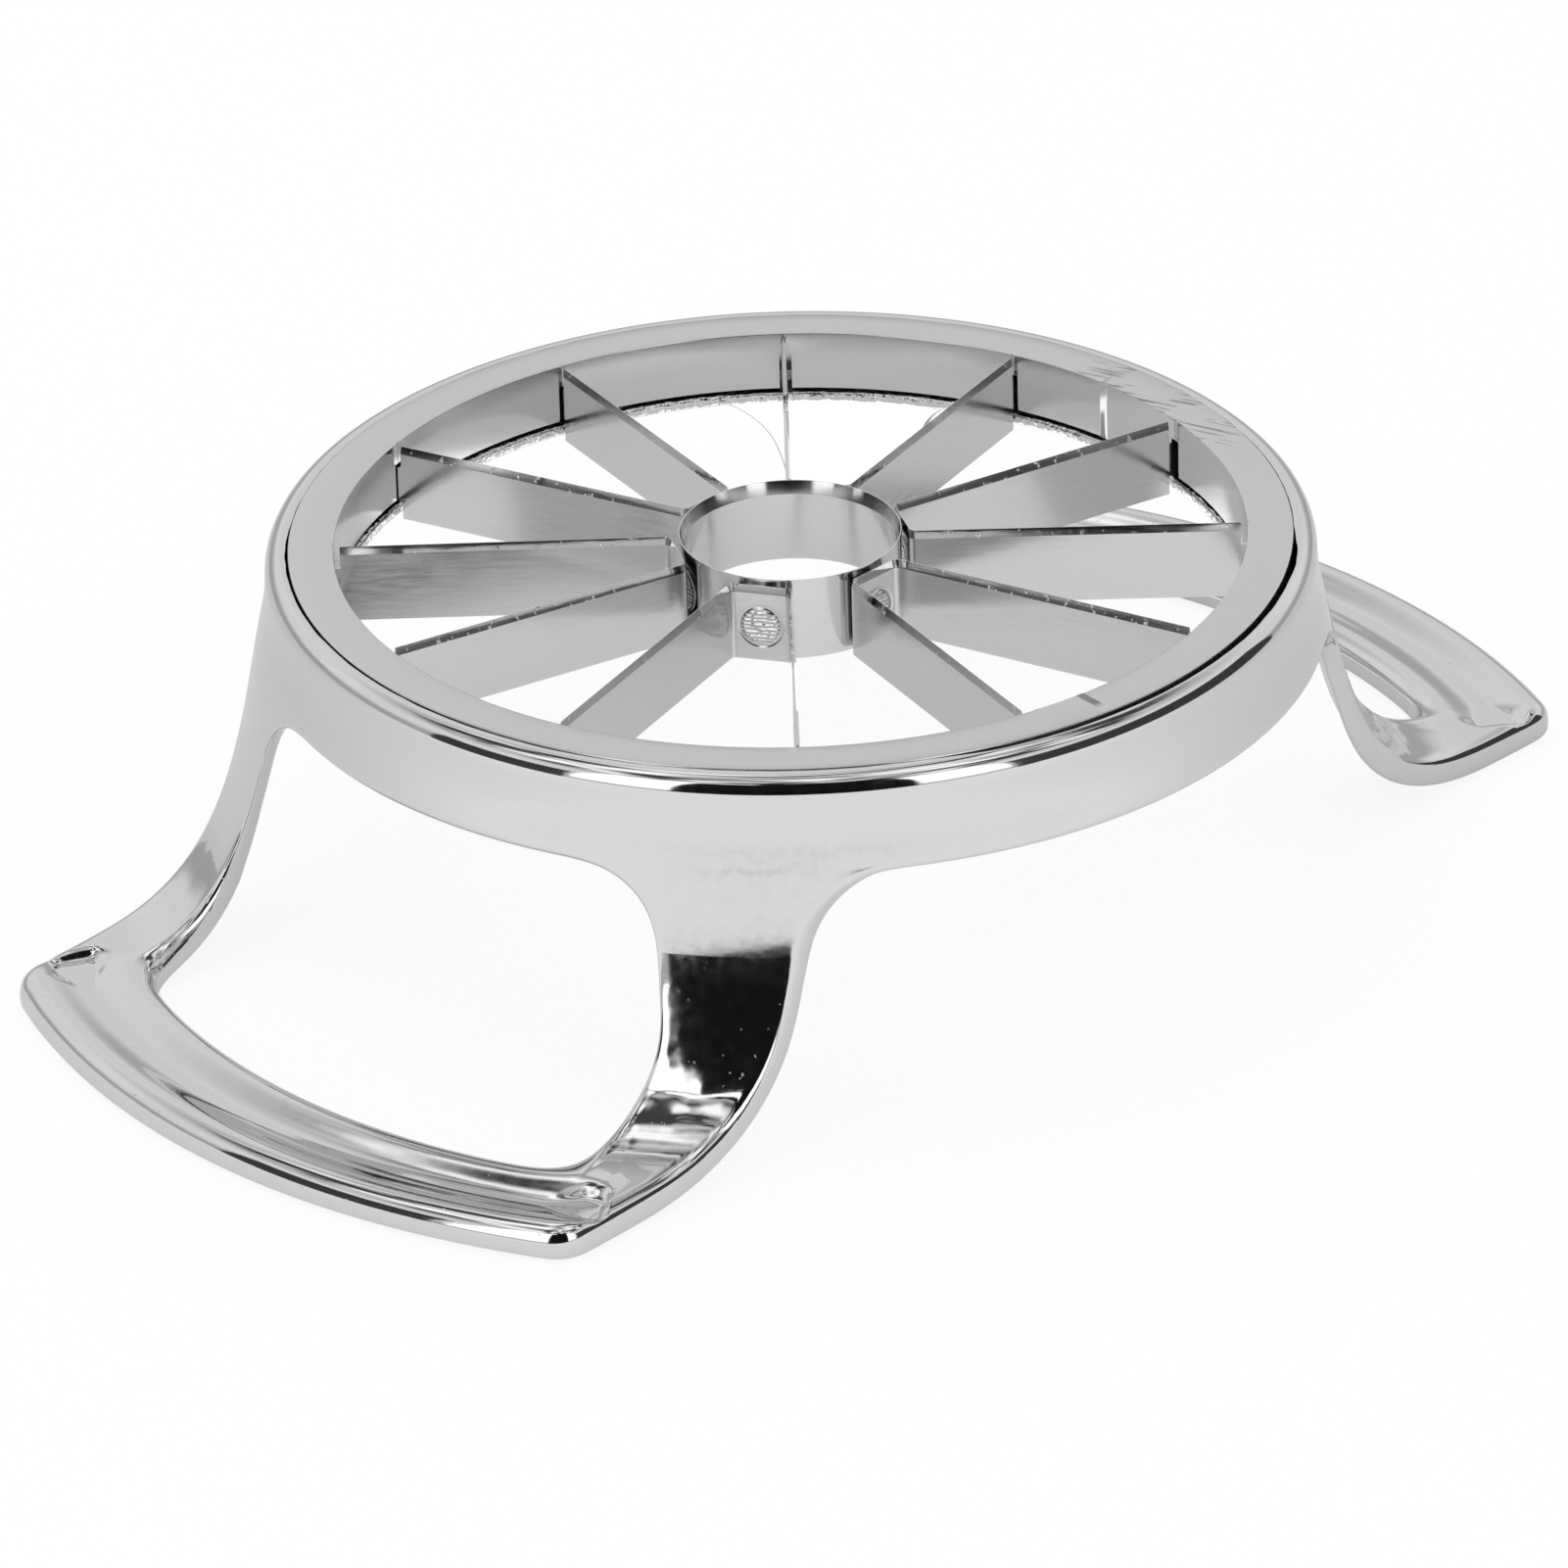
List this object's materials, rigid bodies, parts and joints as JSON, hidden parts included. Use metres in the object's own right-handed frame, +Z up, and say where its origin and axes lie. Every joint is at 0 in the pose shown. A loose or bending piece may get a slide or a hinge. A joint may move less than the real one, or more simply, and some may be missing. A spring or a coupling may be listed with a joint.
{
  "type": "apple slicer",
  "caption": "Push-down fruit cutter: a chromed ring with a loop handle on either side, radial blades and a central corer, standing upside down with its cutting edges up.",
  "frame": {"origin": "on the table, under the middle of the ring, as the slicer stands upside down on its handles", "axes": "+Z up, out of the cutting side; X from handle to handle; Y across"},
  "size_m": [0.1794, 0.1172, 0.0417],
  "materials": {
    "casting_chrome": "bright chrome plate on a polished zinc casting",
    "holder_steel": "satin stainless steel with fine scratches",
    "corer_steel": "rolled stainless steel, ground at the edge",
    "blade_steel": "rolled stainless steel, ground at the edge"
  },
  "bodies": {
    "root": {"frame_casting": "casting_chrome", "blade_holder_ring": "holder_steel", "corer_ring": "corer_steel", "blade_strip_1": "blade_steel", "blade_strip_2": "blade_steel", "blade_strip_3": "blade_steel", "blade_strip_4": "blade_steel", "blade_strip_5": "blade_steel", "blade_strip_6": "blade_steel"}
  },
  "joints": []
}
